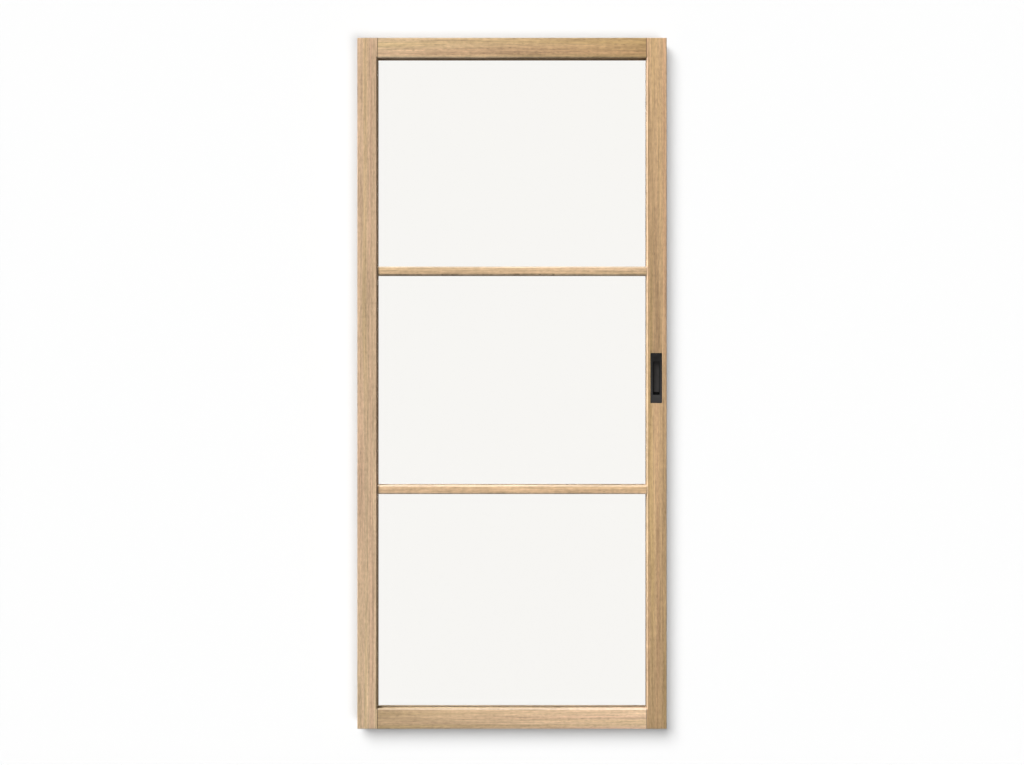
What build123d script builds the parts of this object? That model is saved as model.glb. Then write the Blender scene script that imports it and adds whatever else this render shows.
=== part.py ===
from build123d import *
import os

# A sliding interior door leaf: a solid oak frame with two slim glazing bars and three
# clear panes, glazed from the back with mitred beads, and a flush pull on each face.
# Millimetres. X runs to the right seen from the front, Y from the front face to the
# back face, Z up. The origin is the middle of the leaf's top edge.

# leaf
LEAF_WIDTH = 940.0
LEAF_HEIGHT = 2100.0
LEAF_THICKNESS = 40.0
EDGE_EASING = 1.0

# stiles and rails
STILE_WIDTH = 60.5
TOP_RAIL_HEIGHT = 60.5
BOTTOM_RAIL_HEIGHT = 61.5
SIGHT_BEVEL = 3.0
JOINT_EASING = 0.5
RAIL_TENON_LENGTH = 35.0
RAIL_TENON_HEIGHT = 30.0
RAIL_TENON_THICKNESS = 13.0
MORTISE_END_ROOM = 1.0

# glazing bars, placed by the drop from the leaf's top edge to their middle
UPPER_BAR_DROP = 708.5
LOWER_BAR_DROP = 1373.5
BAR_HEIGHT = 27.0
BAR_BEVEL = 4.0
BAR_TONGUE_HEIGHT = 7.0
BAR_TENON_LENGTH = 15.0
BAR_TENON_THICKNESS = 14.0

# glazing
GLASS_THICKNESS = 4.0
GLASS_EDGE_ROOM = 2.0
TAPE_THICKNESS = 1.0
TAPE_SETBACK = 1.0
REBATE_WIDTH = 10.0
BEAD_BEVEL = 3.0
BLOCK_LENGTH = 60.0
BLOCK_INSET = 120.0

# groove for the floor guide, along the whole bottom edge
GROOVE_WIDTH = 8.0
GROOVE_DEPTH = 15.0

# flush pulls
PULL_WIDTH = 35.0
PULL_HEIGHT = 152.0
PULL_CORNER = 2.0
PULL_PLATE = 2.0
PULL_EASING = 0.4
PULL_DROP = 1034.0
FRONT_PULL_INSET = 31.5
BACK_PULL_INSET = 24.0
CUP_WIDTH = 22.0
CUP_HEIGHT = 103.0
CUP_CORNER = 2.5
CUP_DEPTH = 8.0
CUP_WALL = 1.5
CUP_SIDE_DRAFT = 3.0
CUP_SCOOP = 26.0
CUP_TROUGH_HEIGHT = 9.0
CUP_TROUGH_DEPTH = 16.0
CUP_FILLET = 1.5
PULL_FIT = 0.3

# past a face, so that a cut leaves no skin
OVERCUT = 1.0

# faces and lines that the pieces share
FRONT = -LEAF_THICKNESS / 2
BACK = LEAF_THICKNESS / 2
GLAZING_FRONT = -GLASS_THICKNESS / 2 - TAPE_THICKNESS
GLAZING_BACK = GLASS_THICKNESS / 2 + TAPE_THICKNESS
OUTER_EDGE = LEAF_WIDTH / 2
SIGHT_EDGE = OUTER_EDGE - STILE_WIDTH
REBATE_EDGE = SIGHT_EDGE + REBATE_WIDTH
BOTTOM = -LEAF_HEIGHT
TOP_SIGHT = -TOP_RAIL_HEIGHT
BOTTOM_SIGHT = BOTTOM + BOTTOM_RAIL_HEIGHT

# the bottom and top sight lines of each light, lowest line first
LIGHTS = {
    "top": (-UPPER_BAR_DROP + BAR_HEIGHT / 2, TOP_SIGHT),
    "middle": (-LOWER_BAR_DROP + BAR_HEIGHT / 2, -UPPER_BAR_DROP - BAR_HEIGHT / 2),
    "bottom": (BOTTOM_SIGHT, -LOWER_BAR_DROP - BAR_HEIGHT / 2),
}
BARS = {"upper_bar": UPPER_BAR_DROP, "lower_bar": LOWER_BAR_DROP}


def block(x, y, z):
    """A box between two values on each axis."""
    size = [abs(b - a) for a, b in (x, y, z)]
    middle = [(a + b) / 2 for a, b in (x, y, z)]
    return Pos(*middle) * Box(*size)


def frame_rectangle(low, high, y, grow):
    """An upright rectangle over the whole sight width, grown on all four sides."""
    side = SIGHT_EDGE + grow
    corners = [(-side, y, low - grow), (side, y, low - grow), (side, y, high + grow), (-side, y, high + grow)]
    return make_face(Polyline(*corners, close=True))


def sight_flare(low, high, face, bevel):
    """The flared cut that bevels the four sight edges of an opening at one face of the leaf."""
    outward = -1 if face < 0 else 1
    inner = frame_rectangle(low, high, face - outward * bevel, 0)
    outer = frame_rectangle(low, high, face + outward * OVERCUT, bevel + OVERCUT)
    return loft([inner, outer], ruled=True)


def leaf_blank():
    """The whole leaf with its arrises eased, which trims the outer edges of the frame."""
    blank = block((-OUTER_EDGE, OUTER_EDGE), (FRONT, BACK), (BOTTOM, 0))
    faces = blank.faces().sort_by(Axis.Y)
    return chamfer(faces[0].edges() + faces[-1].edges(), EDGE_EASING)


def guide_groove():
    """The groove that the floor guide runs in, through both stiles and the bottom rail."""
    along = OUTER_EDGE + OVERCUT
    half = GROOVE_WIDTH / 2
    return block((-along, along), (-half, half), (BOTTOM - OVERCUT, BOTTOM + GROOVE_DEPTH))


def joint_line(x, face, low, high):
    """A fine V down a shoulder joint in one face of the leaf, which eases the arrises of both pieces."""
    inward = 1 if face < 0 else -1
    half = JOINT_EASING + OVERCUT
    outside = face - inward * OVERCUT
    profile = [(x - half, outside, low), (x + half, outside, low), (x, face + inward * JOINT_EASING, low)]
    return extrude(make_face(Polyline(*profile, close=True)), amount=high - low, dir=(0, 0, 1))


def joint_lines():
    """The V lines of all the rail shoulders, on both faces."""
    lines = []
    for side in (-1, 1):
        for face, edge, setback in ((FRONT, SIGHT_EDGE, 0), (BACK, REBATE_EDGE, REBATE_WIDTH)):
            lines.append(joint_line(side * edge, face, TOP_SIGHT + setback, OVERCUT))
            lines.append(joint_line(side * edge, face, BOTTOM - OVERCUT, BOTTOM_SIGHT - setback))
    return lines


def rail_tenon(side, rebate_line, toward, end_room=0):
    """A rail's tenon, which starts at the rebate line; grown at its end it is the mortise."""
    x = (side * REBATE_EDGE, side * (REBATE_EDGE + RAIL_TENON_LENGTH + end_room))
    y = (GLAZING_FRONT, GLAZING_FRONT + RAIL_TENON_THICKNESS)
    return block(x, y, (rebate_line, rebate_line + toward * RAIL_TENON_HEIGHT))


def bar_tenon(side, drop, end_room=0):
    """A glazing bar's stub tenon; grown at its end it is the mortise."""
    x = (side * REBATE_EDGE, side * (REBATE_EDGE + BAR_TENON_LENGTH + end_room))
    y = (GLAZING_FRONT, GLAZING_FRONT + BAR_TENON_THICKNESS)
    return block(x, y, (-drop - BAR_TONGUE_HEIGHT / 2, -drop + BAR_TONGUE_HEIGHT / 2))


def stile(side):
    """A full-height stile, rebated at the back, with its bevel, mortises and guide groove."""
    wood = block((side * SIGHT_EDGE, side * OUTER_EDGE), (FRONT, BACK), (BOTTOM, 0))
    wood -= block((0, side * REBATE_EDGE), (GLAZING_FRONT, BACK + OVERCUT), (BOTTOM - OVERCUT, OVERCUT))
    wood &= leaf_blank()
    wood -= sight_flare(BOTTOM_SIGHT, TOP_SIGHT, FRONT, SIGHT_BEVEL)
    wood -= rail_tenon(side, TOP_SIGHT + REBATE_WIDTH, 1, MORTISE_END_ROOM)
    wood -= rail_tenon(side, BOTTOM_SIGHT - REBATE_WIDTH, -1, MORTISE_END_ROOM)
    for drop in BARS.values():
        wood -= bar_tenon(side, drop, MORTISE_END_ROOM)
    return wood - guide_groove() - joint_lines()


def rail(sight_line, outer_line):
    """A rail between the stiles, with a long shoulder that fills the stiles' rebates."""
    toward = 1 if outer_line > sight_line else -1
    rebate_line = sight_line + toward * REBATE_WIDTH
    wood = block((-SIGHT_EDGE, SIGHT_EDGE), (FRONT, GLAZING_FRONT), (sight_line, outer_line))
    wood += block((-REBATE_EDGE, REBATE_EDGE), (GLAZING_FRONT, BACK), (rebate_line, outer_line))
    for side in (-1, 1):
        wood += rail_tenon(side, rebate_line, toward)
    wood &= leaf_blank()
    return wood - sight_flare(BOTTOM_SIGHT, TOP_SIGHT, FRONT, SIGHT_BEVEL) - joint_lines()


def glazing_bar(drop):
    """A T-shaped bar: a bevelled front, and a tongue that runs back between the beads."""
    half = BAR_HEIGHT / 2
    flat = half - BAR_BEVEL
    outline = [
        (FRONT, -flat),
        (FRONT, flat),
        (FRONT + BAR_BEVEL, half),
        (GLAZING_FRONT, half),
        (GLAZING_FRONT, -half),
        (FRONT + BAR_BEVEL, -half),
    ]
    face = make_face(Polyline(*[(-SIGHT_EDGE, y, z - drop) for y, z in outline], close=True))
    wood = extrude(face, amount=2 * SIGHT_EDGE, dir=(1, 0, 0))
    tongue_z = (-drop - BAR_TONGUE_HEIGHT / 2, -drop + BAR_TONGUE_HEIGHT / 2)
    wood += block((-REBATE_EDGE, REBATE_EDGE), (GLAZING_FRONT, BACK), tongue_z)
    for side in (-1, 1):
        wood += bar_tenon(side, drop)
    return wood


def rebate_lines(low, high):
    """The lines a light's glass, tapes and beads are set within, past its sight lines."""
    bar_reach = (BAR_HEIGHT - BAR_TONGUE_HEIGHT) / 2
    below = REBATE_WIDTH if low == BOTTOM_SIGHT else bar_reach
    above = REBATE_WIDTH if high == TOP_SIGHT else bar_reach
    return low - below, high + above


def pane_outline(low, high):
    """The edges of a light's glass: half its width, its lower and its upper edge."""
    lower, upper = rebate_lines(low, high)
    return REBATE_EDGE - GLASS_EDGE_ROOM, lower + GLASS_EDGE_ROOM, upper - GLASS_EDGE_ROOM


def pane(low, high):
    """A sheet of clear glass."""
    side, lower, upper = pane_outline(low, high)
    return block((-side, side), (-GLASS_THICKNESS / 2, GLASS_THICKNESS / 2), (lower, upper))


def tape(low, high, y):
    """A ring of glazing tape on one side of the glass, set back from the sight lines."""
    side, lower, upper = pane_outline(low, high)
    clear = SIGHT_EDGE + TAPE_SETBACK
    ring = block((-side, side), y, (lower, upper))
    through = (y[0] - OVERCUT, y[1] + OVERCUT)
    return ring - block((-clear, clear), through, (low - TAPE_SETBACK, high + TAPE_SETBACK))


def setting_blocks(low, high):
    """The two blocks that a sheet of glass stands on in its rebate."""
    lower, _ = rebate_lines(low, high)
    y = (-GLASS_THICKNESS / 2, GLASS_THICKNESS / 2)
    z = (lower, lower + GLASS_EDGE_ROOM)
    outer = REBATE_EDGE - BLOCK_INSET
    inner = outer - BLOCK_LENGTH
    return Compound(children=[block((side * inner, side * outer), y, z) for side in (-1, 1)])


def beads(low, high):
    """The four mitred beads that hold a light's glass in from the back, bevelled inside."""
    lower, upper = rebate_lines(low, high)
    sight = [(-SIGHT_EDGE, low), (SIGHT_EDGE, low), (SIGHT_EDGE, high), (-SIGHT_EDGE, high)]
    outer = [(-REBATE_EDGE, lower), (REBATE_EDGE, lower), (REBATE_EDGE, upper), (-REBATE_EDGE, upper)]
    flare = sight_flare(low, high, BACK, BEAD_BEVEL)
    pieces = {}
    for corner, name in enumerate(("bottom", "right", "top", "left")):
        after = (corner + 1) % 4
        ends = [outer[corner], outer[after], sight[after], sight[corner]]
        face = make_face(Polyline(*[(x, GLAZING_BACK, z) for x, z in ends], close=True))
        pieces[name] = extrude(face, amount=BACK - GLAZING_BACK, dir=(0, 1, 0)) - flare
    return pieces


def upright_outline(width, height, corner, depth):
    """A rounded upright rectangle carried straight back from the plate's face."""
    outline = Plane.XZ * RectangleRounded(width, height, corner)
    return extrude(outline, amount=depth, dir=(0, 1, 0))


def plate_form(grow, depth):
    """The outline of a flush pull's plate, grown on all four sides and carried back."""
    return upright_outline(PULL_WIDTH + 2 * grow, PULL_HEIGHT + 2 * grow, PULL_CORNER + grow, depth)


def cup_form(grow):
    """The finger cup's hollow with square corners, or with its wall added the body round it.

    Seen from the side it sweeps down from the plate in an arc, runs flat, and drops into a
    deeper trough at its lower end. Its two long sides lean in towards the floor.
    """
    floor = CUP_DEPTH + grow
    trough = CUP_TROUGH_DEPTH + grow
    top = CUP_HEIGHT / 2 + grow
    step = -CUP_HEIGHT / 2 + CUP_TROUGH_HEIGHT + grow
    half = CUP_WIDTH / 2 + grow
    sweep_foot = (0, floor, top - CUP_SCOOP)
    sweep = TangentArc(sweep_foot, (0, 0, top), tangent=(0, 0, 1))
    below = [(0, 0, -top), (0, trough, -top), (0, trough, step), (0, floor, step)]
    rest = Polyline((0, 0, top), *below, sweep_foot)
    side_face = make_face(Wire([sweep] + list(rest.edges())))
    side_view = extrude(side_face, amount=half, dir=(1, 0, 0), both=True)
    lean = [(-half, 0), (half, 0), (half - CUP_SIDE_DRAFT, trough), (CUP_SIDE_DRAFT - half, trough)]
    plan_face = make_face(Polyline(*[(x, y, -top) for x, y in lean], close=True))
    plan_view = extrude(plan_face, amount=2 * top, dir=(0, 0, 1))
    front_view = upright_outline(2 * half, 2 * top, CUP_CORNER + grow, trough)
    return side_view & plan_view & front_view


def cup_hollow():
    """The finger cup's hollow with a soft corner along both sides of its floor."""
    hollow = cup_form(0)
    edges = []
    for side in hollow.faces().filter_by(GeomType.PLANE):
        facing = side.normal_at()
        if abs(facing.X) > abs(facing.Y):
            below_mouth = side.edges().sort_by(Axis.Y)[1:]
            edges += [edge for edge in below_mouth if edge.bounding_box().size.Z > edge.bounding_box().size.Y]
    return fillet(edges, CUP_FILLET)


def flush_pull():
    """A flush pull with its face on y = 0: a plate and a finger cup cast in one piece."""
    plate = plate_form(0, PULL_PLATE)
    plate = chamfer(plate.faces().sort_by(Axis.Y)[0].edges(), PULL_EASING)
    return plate + cup_form(CUP_WALL) - cup_hollow()


def pull_pocket():
    """The recess milled for a flush pull: a shallow one for the plate, a deep one for the cup."""
    grow = CUP_WALL + PULL_FIT
    size = [CUP_WIDTH + 2 * grow, CUP_HEIGHT + 2 * grow, CUP_CORNER + grow]
    cup = upright_outline(*size, CUP_TROUGH_DEPTH + grow)
    return plate_form(PULL_FIT, PULL_PLATE) + plate_form(PULL_FIT, -OVERCUT) + cup


PULL_PLACES = {
    "pull_front": Pos(OUTER_EDGE - FRONT_PULL_INSET, FRONT, -PULL_DROP),
    "pull_back": Pos(OUTER_EDGE - BACK_PULL_INSET, BACK, -PULL_DROP) * Rot(0, 0, 180),
}


def closing_stile():
    """The right stile, which carries both flush pulls."""
    wood = stile(1)
    for place in PULL_PLACES.values():
        wood -= place * pull_pocket()
    return wood


def door_leaf():
    """Every piece of the leaf by its name."""
    pieces = {
        "left_stile": stile(-1),
        "right_stile": closing_stile(),
        "top_rail": rail(TOP_SIGHT, 0),
        "bottom_rail": rail(BOTTOM_SIGHT, BOTTOM) - guide_groove(),
    }
    for name, drop in BARS.items():
        pieces[name] = glazing_bar(drop)
    for light, (low, high) in LIGHTS.items():
        pieces["glass_" + light] = pane(low, high)
        pieces["front_tape_" + light] = tape(low, high, (GLAZING_FRONT, -GLASS_THICKNESS / 2))
        pieces["back_tape_" + light] = tape(low, high, (GLASS_THICKNESS / 2, GLAZING_BACK))
        pieces["setting_blocks_" + light] = setting_blocks(low, high)
        for edge, bead in beads(low, high).items():
            pieces["bead_" + light + "_" + edge] = bead
    for name, place in PULL_PLACES.items():
        pieces[name] = place * flush_pull()
    return pieces


os.makedirs("parts", exist_ok=True)
for node, solid in door_leaf().items():
    export_step(solid, "parts/" + node + ".step")
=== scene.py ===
import math

import bpy
import numpy as np
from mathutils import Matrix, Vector


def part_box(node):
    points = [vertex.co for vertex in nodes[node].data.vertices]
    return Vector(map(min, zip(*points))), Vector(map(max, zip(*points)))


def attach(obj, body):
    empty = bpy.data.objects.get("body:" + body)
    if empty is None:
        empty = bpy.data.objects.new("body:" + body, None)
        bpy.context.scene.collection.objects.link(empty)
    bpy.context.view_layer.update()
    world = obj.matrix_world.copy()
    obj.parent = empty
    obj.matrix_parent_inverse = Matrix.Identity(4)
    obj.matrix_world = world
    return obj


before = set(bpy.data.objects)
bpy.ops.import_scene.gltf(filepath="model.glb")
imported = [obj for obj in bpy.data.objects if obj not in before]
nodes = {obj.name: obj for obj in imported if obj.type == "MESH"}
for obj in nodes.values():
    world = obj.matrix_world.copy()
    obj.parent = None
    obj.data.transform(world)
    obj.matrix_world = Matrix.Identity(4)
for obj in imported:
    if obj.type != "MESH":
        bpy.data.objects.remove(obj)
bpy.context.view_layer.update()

# Stiles: the two full-height uprights, sawn from light oak boards with straight grain
# along Z, planed, sanded and oiled matt. Every sharp arris is broken by hand. The left
# one is a paler board than the right, and both are rebated at the back for the glass.

leaf_low, leaf_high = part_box("left_stile")[0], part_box("right_stile")[1]
stile_reach = (leaf_high.z, leaf_low.z)
stile_arris = 0.0006

# Each kind of streak in the wood: how fast it changes over a metre across the rings, and
# along the board, how much detail it has, and which slice of the noise it is cut from.
streak_kinds = {
    "broad": (75.0, 0.9, 1.0, 3.0),
    "tint": (60.0, 0.7, 1.0, 11.0),
    "middle": (190.0, 3.4, 2.0, 7.0),
    "fleck": (210.0, 55.0, 2.0, 13.0),
    "fine": (700.0, 12.0, 3.0, 19.0),
    "pore_bed": (330.0, 1.5, 1.0, 29.0),
    "dashes": (3600.0, 75.0, 0.0, 41.0),
}
streak_roughness = 0.55
broad_shades = (0.95, 1.07)
streak_swings = {"middle": 0.20, "fleck": 0.13, "fine": 0.18}
noise_range = (0.3, 0.7)

# The rings bend slowly, by so much, over so many waves a metre across and along the board.
ring_bend = 0.012
bend_rates = (14.0, 1.3)

# Each board is cut from its own place: its shift across, and these shares of it in depth
# and along the grain.
shift_deep, shift_along = 0.37, 3.1

pink_tint = (0.985, 0.925, 0.965, 1.0)
olive_tint = (0.945, 0.96, 0.87, 1.0)
pink_range = (0.52, 0.68)
olive_range = (0.46, 0.34)

pore_range = (0.60, 0.68)
pore_bed_range = (0.45, 0.6)
fewest_pores = 0.15
pore_dark = 0.42
pore_depth, pore_relief, fine_relief = 0.0002, 0.35, 0.3
oak_roughness = (0.72, 0.6)

# Bevels are painted paler and greyer than their board, a painted highlight, and on the left
# stile darker instead, a painted shade. A face counts as a bevel by how far it leans from 45
# degrees, and not within so far of the leaf's outer edges.
painted_bevel_highlight = (1.28, 1.42, 1.68, 1.0)
painted_bevel_shade = (0.8, 0.8, 0.8, 1.0)
bevel_lean = (0.12, 0.22)
plain_edge = (0.002, 0.004)

# At a shoulder the wood is darkest over this share of the dark width, and down to this
# depth below the front face.
darkest_share = 0.2
dark_depth = (0.001, 0.003)


def plug(tree, inputs, values):
    """Sets sockets, each to a plain value or to another node's output."""
    for key, value in values.items():
        if isinstance(value, bpy.types.NodeSocket):
            tree.links.new(value, inputs[key])
        else:
            inputs[key].default_value = value


def add(tree, kind, sockets, **settings):
    """One shader node with its sockets and settings filled in; gives back its outputs."""
    made = tree.nodes.new("ShaderNode" + kind)
    for name, value in settings.items():
        setattr(made, name, value)
    plug(tree, made.inputs, sockets)
    return made.outputs


def calc(tree, operation, first, second=0.0, third=0.0):
    """One step of arithmetic on up to three values."""
    return add(tree, "Math", {0: first, 1: second, 2: third}, operation=operation)[0]


def between(tree, value, low, high, to_low=0.0, to_high=1.0):
    """A value carried from one range to another, and held at its ends."""
    return add(tree, "MapRange", {
        "Value": value, "From Min": low, "From Max": high, "To Min": to_low, "To Max": to_high,
    })[0]


def noise(tree, point, scale, detail, roughness=0.5):
    """Smooth noise about 0.5 at a point."""
    sockets = {"Vector": point, "Scale": scale, "Detail": detail, "Roughness": roughness}
    return add(tree, "TexNoise", sockets)["Fac"]


def mixed(tree, share, first, second, blend="MIX"):
    """Two colours mixed by a share."""
    return add(tree, "Mix", {0: share, 6: first, 7: second}, data_type="RGBA", blend_type=blend)[2]


def times(tree, colour, factor):
    """A colour multiplied by another."""
    return mixed(tree, 1.0, colour, factor, "MULTIPLY")


def grey(tree, shade):
    """A shade as a colour, for times."""
    return add(tree, "CombineColor", {0: shade, 1: shade, 2: shade})[0]


def bumps(tree, height, strength, distance):
    """The normal of a surface that rises with height."""
    return add(tree, "Bump", {"Height": height, "Strength": strength, "Distance": distance})[0]


def linear(red, green, blue):
    """A colour given as it looks on a screen, 0 to 255, turned into amounts of light."""
    share = np.array([red, green, blue]) / 255
    light = np.where(share <= 0.04045, share / 12.92, ((share + 0.055) / 1.055) ** 2.4)
    return (*light.tolist(), 1.0)


def new_material(name):
    """An empty material, its tree, its surface shader and the place of each point on the piece."""
    material = bpy.data.materials.new(name)
    material.use_nodes = True
    tree = material.node_tree
    place = add(tree, "TexCoord", {})["Object"]
    return material, tree, tree.nodes["Principled BSDF"], place


def growth_rings(tree, across, depth, along, cut):
    """How far a point lies across the rings: across times cos(cut) plus depth times sin(cut).

    Slow noise is added, so that the rings bend. cut is their angle from the face, in radians.
    """
    bend_across, bend_along = bend_rates
    slow = add(tree, "CombineXYZ", {
        "X": calc(tree, "MULTIPLY", across, bend_across),
        "Y": calc(tree, "MULTIPLY", depth, bend_across),
        "Z": calc(tree, "MULTIPLY", along, bend_along),
    })[0]
    ring = calc(tree, "MULTIPLY", depth, math.sin(cut))
    ring = calc(tree, "MULTIPLY_ADD", across, math.cos(cut), ring)
    return calc(tree, "MULTIPLY_ADD", noise(tree, slow, 1.0, 2.0), ring_bend, ring)


def streaks(tree, ring, along, across_rate, along_rate, detail, turn):
    """Noise drawn out along the grain: fast across the rings and slow along the board."""
    point = add(tree, "CombineXYZ", {
        "X": calc(tree, "MULTIPLY", ring, across_rate),
        "Y": turn,
        "Z": calc(tree, "MULTIPLY", along, along_rate),
    })[0]
    return noise(tree, point, 1.0, detail, streak_roughness)


def shoulder_shade(tree, here, line, width, darkest):
    """A shade that falls from 1, a width away from a shoulder's line, to darkest just at it.

    It keeps to the front few millimetres, because the back shoulders are further out.
    """
    off_line = calc(tree, "ABSOLUTE", calc(tree, "SUBTRACT", here["X"], line))
    behind = between(tree, calc(tree, "SUBTRACT", here["Y"], leaf_low.y), *dark_depth)
    shade = between(tree, off_line, width * darkest_share, width, darkest, 1.0)
    return calc(tree, "MAXIMUM", behind, shade)


def bevel_share(tree, here):
    """1 where a face leans halfway between front and side, but 0 by the leaf's outer edges."""
    facing = add(tree, "SeparateXYZ", {0: add(tree, "TexCoord", {})["Normal"]})["Y"]
    lean = calc(tree, "SUBTRACT", calc(tree, "ABSOLUTE", facing), math.sqrt(0.5))
    leaning = between(tree, calc(tree, "ABSOLUTE", lean), *bevel_lean, 1.0, 0.0)
    to_edge = calc(tree, "SUBTRACT", leaf_high.x, calc(tree, "ABSOLUTE", here["X"]))
    return calc(tree, "MULTIPLY", leaning, between(tree, to_edge, *plain_edge))


def oak(name, grain, cut, tones, reach, shift, shoulders=(), bevel_painted_light=painted_bevel_highlight):
    """Oiled oak as a solid pattern, so that faces, ends and bevels cut through one board.

    The rings are near-flat layers at the angle cut from the face, bent by slow noise. Broad
    streaks choose between a straw, a pink and an olive tone; short wavy flecks and finer lines
    shade them; pores are short dark dashes along the grain, sunk a little. tones are the
    board's colours at its two ends, reached at the two values of reach along the grain. Each
    of shoulders is a line across the board, a width and a shade: just at it, the wood is darker,
    a dark joint at the rails and a painted shade at the bars' left ends. The last argument
    multiplies the colour on bevels with painted light: a painted highlight or a painted shade.
    """
    material, tree, surface, place = new_material(name)
    here = add(tree, "SeparateXYZ", {0: place})
    along_axis, across_axis = ("Z", "X") if grain == "Z" else ("X", "Z")
    across = calc(tree, "ADD", here[across_axis], shift)
    depth = calc(tree, "ADD", here["Y"], shift * shift_deep)
    along = calc(tree, "ADD", here[along_axis], shift * shift_along)
    ring = growth_rings(tree, across, depth, along, cut)
    seen = {kind: streaks(tree, ring, along, *rates) for kind, rates in streak_kinds.items()}

    straw = mixed(tree, between(tree, here[along_axis], *reach), *tones)
    colour = mixed(tree, between(tree, seen["tint"], *pink_range), straw, times(tree, straw, pink_tint))
    colour = mixed(tree, between(tree, seen["tint"], *olive_range), colour, times(tree, straw, olive_tint))

    shade = between(tree, seen["broad"], *noise_range, *broad_shades)
    for kind, swing in streak_swings.items():
        shade = calc(tree, "ADD", shade, between(tree, seen[kind], *noise_range, -swing, swing))
    bed = between(tree, seen["pore_bed"], *pore_bed_range, fewest_pores, 1.0)
    pores = calc(tree, "MULTIPLY", between(tree, seen["dashes"], *pore_range), bed)
    unpored = calc(tree, "SUBTRACT", 1.0, calc(tree, "MULTIPLY", pores, pore_dark))
    shade = calc(tree, "MULTIPLY", shade, unpored)
    for line, width, darkest in shoulders:
        shade = calc(tree, "MULTIPLY", shade, shoulder_shade(tree, here, line, width, darkest))
    colour = times(tree, colour, grey(tree, shade))
    # Bevels get painted light: paler as a painted highlight, or darker as a painted shade.
    colour = mixed(tree, bevel_share(tree, here), colour, times(tree, colour, bevel_painted_light))

    height = calc(tree, "SUBTRACT", calc(tree, "MULTIPLY", seen["fine"], fine_relief), pores)
    plug(tree, surface.inputs, {
        "Base Color": colour,
        "Roughness": between(tree, seen["middle"], *noise_range, *oak_roughness),
        "Normal": bumps(tree, height, pore_relief, pore_depth),
        "IOR": 1.45,
        "Specular IOR Level": 0.15,
    })
    return material


def dress(name, material):
    """Gives a CAD piece its finish."""
    piece = nodes[name]
    piece.data.materials.clear()
    piece.data.materials.append(material)
    return piece


def break_arrises(piece, width):
    """Rounds a piece's sharp edges by so much: its triangles are joined into whole faces first."""
    piece.modifiers.new("join corners", "WELD").merge_threshold = 0.00001
    whole = piece.modifiers.new("whole faces", "DECIMATE")
    whole.decimate_type = "DISSOLVE"
    whole.angle_limit = math.radians(0.5)
    rounded = piece.modifiers.new("broken arrises", "BEVEL")
    rounded.width = width
    rounded.segments = 2
    rounded.limit_method = "ANGLE"
    rounded.angle_limit = math.radians(20)
    rounded.harden_normals = True
    for face in piece.data.polygons:
        face.use_smooth = True


# Each board: the angle its rings are cut at, its colours at both ends, its own shift and the painted light
# on its bevels: a painted highlight, or on the left stile a painted shade.
stile_boards = {
    "left_stile": (0.45, (linear(201, 170, 138), linear(202, 175, 142)), 0.31, painted_bevel_shade),
    "right_stile": (0.42, (linear(198, 164, 125), linear(174, 145, 108)), 1.93, painted_bevel_highlight),
}
for name, (cut, tones, shift, bevel_painted_light) in stile_boards.items():
    wood = oak(name + "_oak", "Z", cut, tones, stile_reach, shift, bevel_painted_light=bevel_painted_light)
    break_arrises(dress(name, wood), stile_arris)

# Rails: the top and bottom members, from the same oak with the grain along X, tenoned
# between the stiles. Their shoulders meet the stiles in a hairline joint, which shows
# dark because the arrises on both sides of it are broken and the end grain takes more oil.

rail_reach = (leaf_low.x, leaf_high.x)
rail_arris = 0.0006
shoulder_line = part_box("right_stile")[0].x
rail_shoulders = [(side * shoulder_line, 0.0028, 0.3) for side in (-1, 1)]
rail_boards = {
    "top_rail": (0.95, (linear(210, 181, 144), linear(180, 148, 103)), 2.43),
    "bottom_rail": (0.60, (linear(176, 150, 116), linear(224, 193, 159)), 3.71),
}
for name, (cut, tones, shift) in rail_boards.items():
    wood = oak(name + "_oak", "X", cut, tones, rail_reach, shift, rail_shoulders)
    break_arrises(dress(name, wood), rail_arris)

# Glazing bars: slim T-shaped oak bars with bevelled fronts, stub-tenoned into the stiles.
# They are picked from slightly pinker boards, with the grain along X, and their left
# shoulders are painted darker, a painted shade.

bar_arris = 0.0004
# Painted shade at the bars' left shoulders only.
bar_left_painted_shade = [(-shoulder_line, 0.008, 0.1)]
bar_boards = {
    "upper_bar": (0.85, (linear(197, 168, 131), linear(211, 180, 145)), 4.19),
    "lower_bar": (1.10, (linear(210, 178, 142), linear(207, 175, 136)), 5.37),
}
for name, (cut, tones, shift) in bar_boards.items():
    wood = oak(name + "_oak", "X", cut, tones, rail_reach, shift, bar_left_painted_shade)
    break_arrises(dress(name, wood), bar_arris)

# Panes: clear float glass, 4 mm, cut to the rebates less their edge room, and faintly
# warm against white. Each stands on two blocks and is held in from the back by beads.

lights = ("top", "middle", "bottom")


def clear_glass():
    """Clear glass with the barest surface waviness, as floats and rollers leave it."""
    material, tree, surface, place = new_material("clear_float_glass")
    plug(tree, surface.inputs, {
        "Normal": bumps(tree, noise(tree, place, 2.2, 1.0), 0.02, 0.0005),
        "Base Color": (0.955, 0.945, 0.918, 1.0),
        "Roughness": 0.0,
        "IOR": 1.5,
        "Transmission Weight": 1.0,
    })
    return material


glass = clear_glass()
for light in lights:
    dress("glass_" + light, glass)

# Glazing tape: thin dark brown closed-cell foam strip on both faces of each pane, set back
# from the sight line, so that only a hairline of it shows between glass and oak.

tape_tones = (linear(52, 42, 31), linear(72, 58, 43))


def foam_tape():
    """Closed-cell foam: dark brown with a fine pimpled skin."""
    material, tree, surface, place = new_material("glazing_foam_tape")
    cells = noise(tree, place, 1800.0, 2.0)
    plug(tree, surface.inputs, {
        "Base Color": mixed(tree, cells, *tape_tones),
        "Normal": bumps(tree, cells, 0.4, 0.0002),
        "Roughness": 0.85,
    })
    return material


tape = foam_tape()
for light in lights:
    for side in ("front", "back"):
        dress(side + "_tape_" + light, tape)

# Setting blocks: small pads of black moulded plastic, two under each pane, which carry its
# weight and keep its edge off the oak. They lie hidden in the rebate.

pad_tones = (linear(34, 34, 36), linear(52, 52, 54))


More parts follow.
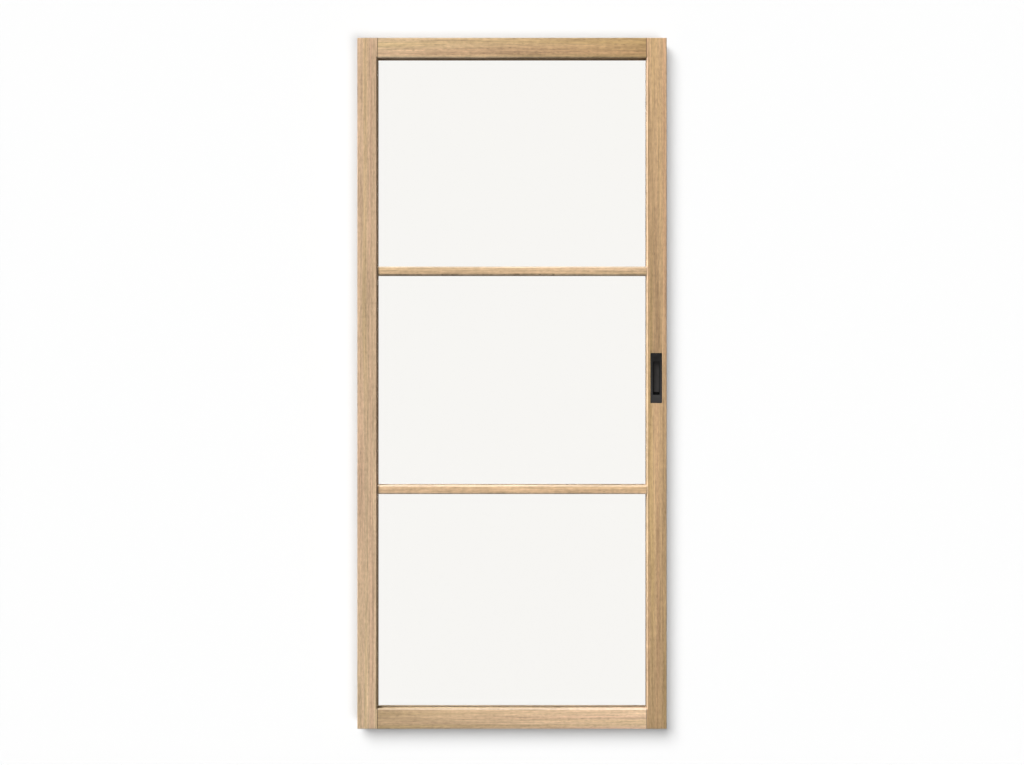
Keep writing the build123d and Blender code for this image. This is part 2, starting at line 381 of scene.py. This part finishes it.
def moulded_pad():
    """Moulded plastic with a faint cloudy sheen."""
    material, tree, surface, place = new_material("setting_block_plastic")
    cloud = noise(tree, place, 300.0, 2.0)
    plug(tree, surface.inputs, {
        "Base Color": mixed(tree, cloud, *pad_tones),
        "Roughness": 0.5,
    })
    return material


pad = moulded_pad()
for light in lights:
    dress("setting_blocks_" + light, pad)

# Glazing beads: slim oak strips that hold each pane in from the back, mitred at the
# corners, bevelled towards the glass and pinned into the frame.

bead_arris = 0.0004
bead_cut = 0.8
bead_tones = (linear(203, 171, 134), linear(197, 164, 125))
bead_shift, next_bead = 6.0, 0.83
bead_grain = {
    "top": ("X", rail_reach), "bottom": ("X", rail_reach),
    "left": ("Z", stile_reach), "right": ("Z", stile_reach),
}
for light in lights:
    for edge, (grain, reach) in bead_grain.items():
        name = "bead_" + light + "_" + edge
        wood = oak(name + "_oak", grain, bead_cut, bead_tones, reach, bead_shift)
        break_arrises(dress(name, wood), bead_arris)
        bead_shift += next_bead

# Flush pulls: one let into each face of the closing stile, cast in one piece with its
# finger cup and powder coated satin black. The coat is painted paler towards its foot, a
# painted sheen, and on the cup's floor, a painted light.

pull_arris = 0.0003
pull_low, pull_high = (corner.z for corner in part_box("pull_front"))
# The coat's colour at its top and at its foot; the change between them is a painted sheen.
coat_painted_dark, coat_painted_pale = linear(22, 20, 19), linear(54, 52, 51)
coat_roughness = (0.45, 0.58)
patchiness = 0.12

# Where the cup is painted darker, a painted shadow and shade: from these depths below the
# face, this far to each side of its middle, and below the catch's upper edge. Its floor
# starts at floor_depth. Each has a share of the coat's colour: paler on the floor, a painted
# light, and darker on the sides and in the catch.
painted_shade_depth = (0.0008, 0.0028)
painted_shadow_left, painted_shadow_right = (-0.0062, -0.0078), (0.0082, 0.0096)
catch_top = pull_low + 0.0335
catch_edge = 0.001
floor_depth = (0.004, 0.007)
floor_painted_light, side_painted_shadow, catch_painted_shade = 1.8, 0.10, 0.06


def powder_coat(name, middle):
    """Satin black powder coat: a soft orange-peel skin, painted paler towards its foot, a painted sheen.

    The floor of the cup is painted paler too, a painted light. Along its sides, and in the
    deep catch at its foot, the coat is painted darker, a painted shadow and shade, less of it
    towards the closing edge. middle is how far along X the cup's middle lies.
    """
    material, tree, surface, place = new_material(name + "_powder_coat")
    here = add(tree, "SeparateXYZ", {0: place})
    peel = noise(tree, place, 900.0, 2.0)
    cloud = noise(tree, place, 60.0, 2.0)
    patchy = between(tree, cloud, *noise_range, -1.0, 1.0)
    # Painted sheen: paler from top to foot, with random patches.
    painted_sheen_and_patches = between(tree, here["Z"], pull_high, pull_low)
    painted_sheen_and_patches = calc(tree, "MULTIPLY_ADD", patchy, patchiness, painted_sheen_and_patches)

    # Painted light and shade in the cup: a paler floor, darker sides and a darker catch.
    depth = calc(tree, "SUBTRACT", leaf_high.y, calc(tree, "ABSOLUTE", here["Y"]))
    sunk = between(tree, depth, *painted_shade_depth)
    aside = calc(tree, "SUBTRACT", here["X"], middle)
    left_side, right_side = (between(tree, aside, *edge) for edge in (painted_shadow_left, painted_shadow_right))
    sides = calc(tree, "MULTIPLY", sunk, calc(tree, "MAXIMUM", left_side, right_side))
    below = between(tree, here["Z"], catch_top, catch_top - catch_edge)
    catch = calc(tree, "MULTIPLY", sunk, below)
    painted_light_and_shade = between(tree, depth, *floor_depth, 1.0, floor_painted_light)
    painted_light_and_shade = calc(tree, "MULTIPLY", painted_light_and_shade, between(tree, sides, 0.0, 1.0, 1.0, side_painted_shadow))
    painted_light_and_shade = calc(tree, "MULTIPLY", painted_light_and_shade, between(tree, catch, 0.0, 1.0, 1.0, catch_painted_shade))

    colour = mixed(tree, painted_sheen_and_patches, coat_painted_dark, coat_painted_pale)
    plug(tree, surface.inputs, {
        "Base Color": times(tree, colour, grey(tree, painted_light_and_shade)),
        "Roughness": between(tree, cloud, *noise_range, *coat_roughness),
        "Normal": bumps(tree, peel, 0.25, 0.0002),
        "Specular IOR Level": 0.3,
    })
    return material


for name in ("pull_front", "pull_back"):
    pull_left, pull_right = (corner.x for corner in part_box(name))
    coat = powder_coat(name, (pull_left + pull_right) / 2)
    break_arrises(dress(name, coat), pull_arris)

# The place: a plain white wall close behind the leaf, which carries its soft shadow and
# lets the camera through from behind, and a pale floor below the view.

floor_drop = 0.13
wall_gap = 0.015
floor_level = leaf_low.z - floor_drop
wall_face = leaf_high.y + wall_gap
span = 12.0
white = (1.0, 1.0, 1.0, 1.0)


def flat_sheet(name, corners, material):
    """A flat four-cornered surface of the place.

    It casts no shadow, and shows neither through the glass nor as light thrown back.
    """
    mesh = bpy.data.meshes.new(name)
    mesh.from_pydata(corners, [], [(0, 1, 2, 3)])
    mesh.materials.append(material)
    flat = bpy.data.objects.new(name, mesh)
    bpy.context.scene.collection.objects.link(flat)
    flat.visible_transmission = False
    flat.visible_shadow = False
    flat.visible_diffuse = False
    return flat


def matt_paint(name, shade, glow):
    """Matt paint of a grey shade, with a glow that only the camera sees."""
    material, tree, surface, _ = new_material(name)
    seen = add(tree, "LightPath", {})["Is Camera Ray"]
    plug(tree, surface.inputs, {
        "Base Color": (shade, shade, shade, 1.0),
        "Emission Color": white,
        "Emission Strength": calc(tree, "MULTIPLY", seen, glow),
        "Roughness": 1.0,
        "Specular IOR Level": 0.0,
    })
    return material


flat_sheet("floor", [
    (-span, -span, floor_level), (span, -span, floor_level),
    (span, span, floor_level), (-span, span, floor_level),
], matt_paint("floor_paint", 0.3, 0.8))

wall_paint = matt_paint("wall_paint", 0.4, 0.0)
wall_tree = wall_paint.node_tree
painted = wall_tree.nodes["Principled BSDF"].outputs[0]
from_behind = add(wall_tree, "NewGeometry", {})["Backfacing"]
open_air = add(wall_tree, "BsdfTransparent", {})[0]
two_sided = add(wall_tree, "MixShader", {0: from_behind, 1: painted, 2: open_air})[0]
plug(wall_tree, wall_tree.nodes["Material Output"].inputs, {"Surface": two_sided})
wall = flat_sheet("wall", [
    (-span, wall_face, floor_level), (span, wall_face, floor_level),
    (span, wall_face, span), (-span, wall_face, span),
], wall_paint)
wall.visible_glossy = False

# Lamps: a broad key from the upper left, a weak fill from straight in front, and one for
# the back of the leaf. Two very broad ones light the wall alone and make its soft shadow.
# The surround is white to the camera, also through the glass, dim in mirrors and weak to
# matt surfaces.


def sun(name, toward, strength, spread, lit=None, kept_out=None):
    """A sun that shines toward a direction, on one object alone or on all but one."""
    data = bpy.data.lights.new(name, "SUN")
    data.energy = strength
    data.angle = math.radians(spread)
    lamp = bpy.data.objects.new(name, data)
    bpy.context.scene.collection.objects.link(lamp)
    lamp.rotation_mode = "QUATERNION"
    lamp.rotation_quaternion = Vector(toward).to_track_quat("-Z", "Y")
    lamp.visible_transmission = False
    receivers = bpy.data.collections.new(name + "_receivers")
    receivers.objects.link(lit or kept_out)
    receivers.collection_objects[0].light_linking.link_state = "INCLUDE" if lit else "EXCLUDE"
    lamp.light_linking.receiver_collection = receivers
    return lamp


sun("key", (0.69, 0.43, -0.58), 4.8, 34, kept_out=wall)
front_fill = sun("front_fill", (0.0, 1.0, 0.05), 1.0, 30, kept_out=wall)
front_fill.visible_glossy = False
sun("fill", (0.10, -0.95, -0.28), 2.9, 20, kept_out=wall)
sun("wall_wash", (0.45, 1.00, -0.80), 7.05, 40, lit=wall)
sun("wall_fill", (-0.42, 1.00, 0.45), 2.75, 30, lit=wall)

world = bpy.data.worlds.new("surround")
bpy.context.scene.world = world
world.use_nodes = True
sky = world.node_tree
matt_glow, mirror_glow = 0.08, 0.35
path = add(sky, "LightPath", {})
direct = between(sky, path["Diffuse Depth"], 0.0, 1.0, 1.0, 0.0)
looked_at = calc(sky, "MAXIMUM", path["Is Camera Ray"], path["Is Transmission Ray"])
glow = between(sky, calc(sky, "MULTIPLY", looked_at, direct), 0.0, 1.0, matt_glow, 1.0)
glow = calc(sky, "MAXIMUM", glow, calc(sky, "MULTIPLY", path["Is Glossy Ray"], mirror_glow))
plug(sky, sky.nodes["Background"].inputs, {"Color": white, "Strength": glow})

# Camera: square on to the leaf, 3.4 m in front of it at the height of a hand-held camera,
# with a little downward shift that keeps the uprights upright.

camera_away = 3.431
camera_height = 1.168
camera_data = bpy.data.cameras.new("camera")
camera_data.lens = 39.7
camera_data.sensor_width = 36.0
camera_data.shift_y = -0.0386
camera = bpy.data.objects.new("camera", camera_data)
bpy.context.scene.collection.objects.link(camera)
camera.location = (0.0, leaf_low.y - camera_away, leaf_low.z + camera_height)
camera.rotation_euler = (math.radians(90), 0.0, 0.0)
bpy.context.scene.camera = camera
bpy.context.scene.view_settings.view_transform = "Standard"

for piece in nodes.values():
    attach(piece, "root")
